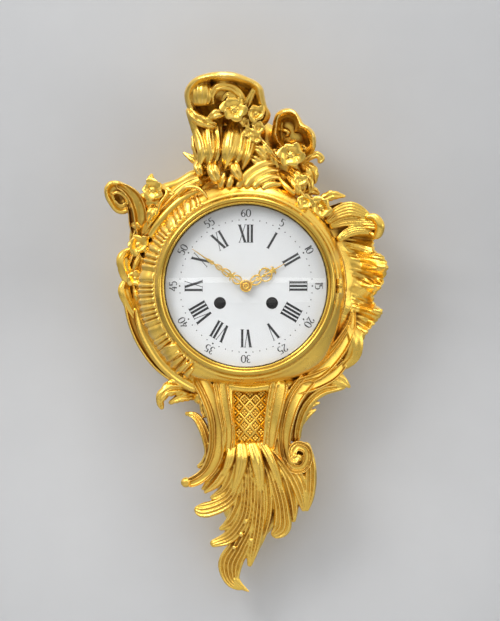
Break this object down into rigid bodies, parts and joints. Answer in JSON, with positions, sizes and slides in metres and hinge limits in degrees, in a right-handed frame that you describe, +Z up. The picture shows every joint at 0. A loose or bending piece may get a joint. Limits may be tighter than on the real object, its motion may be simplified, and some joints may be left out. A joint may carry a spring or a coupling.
{
  "type": "cartel clock",
  "caption": "Gilt rococo wall clock with scrolled crest, leaf wing, flower garlands and leafy tail; enamel dial under a hinged domed glass, striking movement with bell and pendulum",
  "frame": {"origin": "centre of the nail hole on the wall plane", "axes": "+Z up, +Y into the wall, so the dial faces -Y"},
  "size_m": [0.2841, 0.1101, 0.5182],
  "materials": {
    "gilt": "satin",
    "brass": "satin",
    "steel": "satin",
    "enamel": "gloss",
    "glass": "gloss"
  },
  "bodies": {
    "case": {"case_body": "gilt", "neck_casting": "gilt", "trellis_panel": "gilt", "crest_scroll": "gilt", "left_garland": "gilt", "right_garland": "gilt", "hanging_plate": "brass", "plate_screws": "steel", "dial_ring": "gilt", "ring_screws": "steel", "hinge_pin": "steel", "dial_pan": "brass", "enamel_dial": "enamel", "minute_stud": "steel", "front_plate": "brass", "back_plate": "brass", "plate_pillars": "brass", "pillar_nuts": "steel", "back_cock": "brass", "cock_screws": "steel", "bell_stand": "steel", "bell": "brass", "bell_nut": "steel"},
    "bezel": {"glass_bezel": "gilt", "dome_glass": "glass"},
    "minute_set": {"minute_hand": "gilt", "hand_collet": "gilt", "cannon_pinion": "steel"},
    "hour_set": {"hour_hand": "gilt", "hour_wheel": "brass"},
    "minute_gear": {"minute_wheel": "brass"},
    "centre": {"centre_wheel": "brass"},
    "third": {"third_wheel": "brass"},
    "intermediate": {"intermediate_wheel": "brass"},
    "going_drum": {"going_barrel": "brass"},
    "escape": {"escape_wheel": "brass"},
    "anchor": {"pallet_anchor": "steel"},
    "pendulum": {"suspension_spring": "steel", "pendulum_rod": "steel", "pendulum_bob": "brass", "rating_nut": "brass"},
    "going_key": {"going_winder": "steel"},
    "strike_key": {"strike_winder": "steel"},
    "going_pawl": {"going_click": "steel"},
    "strike_pawl": {"strike_click": "steel"},
    "strike_drum": {"strike_barrel": "brass"},
    "strike_two": {"strike_second": "brass", "count_wheel": "brass"},
    "pin_set": {"pin_wheel": "brass"},
    "warning": {"warning_wheel": "brass"},
    "fly_set": {"fly": "brass"},
    "hammer_set": {"hammer": "steel"}
  },
  "joints": [
    {"name": "bezel_swing", "type": "hinge", "parent": "case", "child": "bezel", "pos_m": [0.0935, -0.0963, -0.104], "axis": [0, 0, 1], "range_deg": [0, 100]},
    {"name": "minute_turn", "type": "hinge", "parent": "case", "child": "minute_set", "pos_m": [0, -0.09, -0.104], "axis": [0, 1, 0], "continuous": true},
    {"name": "hour_turn", "type": "hinge", "parent": "case", "child": "hour_set", "pos_m": [0, -0.09, -0.104], "axis": [0, 1, 0], "continuous": true},
    {"name": "minute_wheel_turn", "type": "hinge", "parent": "case", "child": "minute_gear", "pos_m": [0, -0.082, -0.09], "axis": [0, 1, 0], "continuous": true},
    {"name": "third_turn", "type": "hinge", "parent": "case", "child": "third", "pos_m": [0.00348, -0.06, -0.08614], "axis": [0, 1, 0], "continuous": true},
    {"name": "centre_turn", "type": "hinge", "parent": "case", "child": "centre", "pos_m": [0, -0.06, -0.104], "axis": [0, 1, 0], "continuous": true},
    {"name": "intermediate_turn", "type": "hinge", "parent": "case", "child": "intermediate", "pos_m": [0.01989, -0.06, -0.09727], "axis": [0, 1, 0], "continuous": true},
    {"name": "going_barrel_turn", "type": "hinge", "parent": "case", "child": "going_drum", "pos_m": [0.026, -0.06, -0.121], "axis": [0, 1, 0], "continuous": true},
    {"name": "escape_turn", "type": "hinge", "parent": "case", "child": "escape", "pos_m": [0, -0.06, -0.072], "axis": [0, 1, 0], "continuous": true},
    {"name": "pendulum_swing", "type": "hinge", "parent": "case", "child": "pendulum", "pos_m": [0, -0.033, -0.0593], "axis": [0, 1, 0], "range_deg": [-4, 4]},
    {"name": "anchor_rock", "type": "hinge", "parent": "case", "child": "anchor", "pos_m": [0, -0.06, -0.0593], "axis": [0, 1, 0], "range_deg": [-4, 4]},
    {"name": "going_winding", "type": "hinge", "parent": "case", "child": "going_key", "pos_m": [0.026, -0.085, -0.121], "axis": [0, 1, 0], "continuous": true},
    {"name": "strike_winding", "type": "hinge", "parent": "case", "child": "strike_key", "pos_m": [-0.026, -0.085, -0.121], "axis": [0, 1, 0], "continuous": true},
    {"name": "going_click_lift", "type": "hinge", "parent": "case", "child": "going_pawl", "pos_m": [0.0385, -0.082, -0.115], "axis": [0, -1, 0], "range_deg": [0, 12]},
    {"name": "strike_click_lift", "type": "hinge", "parent": "case", "child": "strike_pawl", "pos_m": [-0.0385, -0.082, -0.115], "axis": [0, 1, 0], "range_deg": [0, 12]},
    {"name": "warning_turn", "type": "hinge", "parent": "case", "child": "warning", "pos_m": [-0.03253, -0.06, -0.08098], "axis": [0, 1, 0], "continuous": true},
    {"name": "pin_wheel_turn", "type": "hinge", "parent": "case", "child": "pin_set", "pos_m": [-0.02354, -0.06, -0.07659], "axis": [0, 1, 0], "continuous": true},
    {"name": "strike_second_turn", "type": "hinge", "parent": "case", "child": "strike_two", "pos_m": [-0.01989, -0.06, -0.09727], "axis": [0, 1, 0], "continuous": true},
    {"name": "strike_barrel_turn", "type": "hinge", "parent": "case", "child": "strike_drum", "pos_m": [-0.026, -0.06, -0.121], "axis": [0, 1, 0], "continuous": true},
    {"name": "fly_turn", "type": "hinge", "parent": "case", "child": "fly_set", "pos_m": [-0.04052, -0.06, -0.08388], "axis": [0, 1, 0], "continuous": true},
    {"name": "hammer_lift", "type": "hinge", "parent": "case", "child": "hammer_set", "pos_m": [-0.042, -0.06, -0.092], "axis": [0, -1, 0], "range_deg": [0, 16]}
  ],
  "couplings": [
    {"joint": "hour_turn", "follows": "minute_turn", "ratio": 0.083333},
    {"joint": "minute_wheel_turn", "follows": "minute_turn", "ratio": -0.33333},
    {"joint": "centre_turn", "follows": "third_turn", "ratio": -0.083333},
    {"joint": "intermediate_turn", "follows": "third_turn", "ratio": 0.013889},
    {"joint": "going_barrel_turn", "follows": "third_turn", "ratio": -0.0023148},
    {"joint": "escape_turn", "follows": "third_turn", "ratio": -12},
    {"joint": "pin_wheel_turn", "follows": "warning_turn", "ratio": -0.11111},
    {"joint": "strike_second_turn", "follows": "warning_turn", "ratio": 0.018519},
    {"joint": "strike_barrel_turn", "follows": "warning_turn", "ratio": -0.0030864},
    {"joint": "fly_turn", "follows": "warning_turn", "ratio": -7.5},
    {"joint": "anchor_rock", "follows": "pendulum_swing", "ratio": 1}
  ]
}
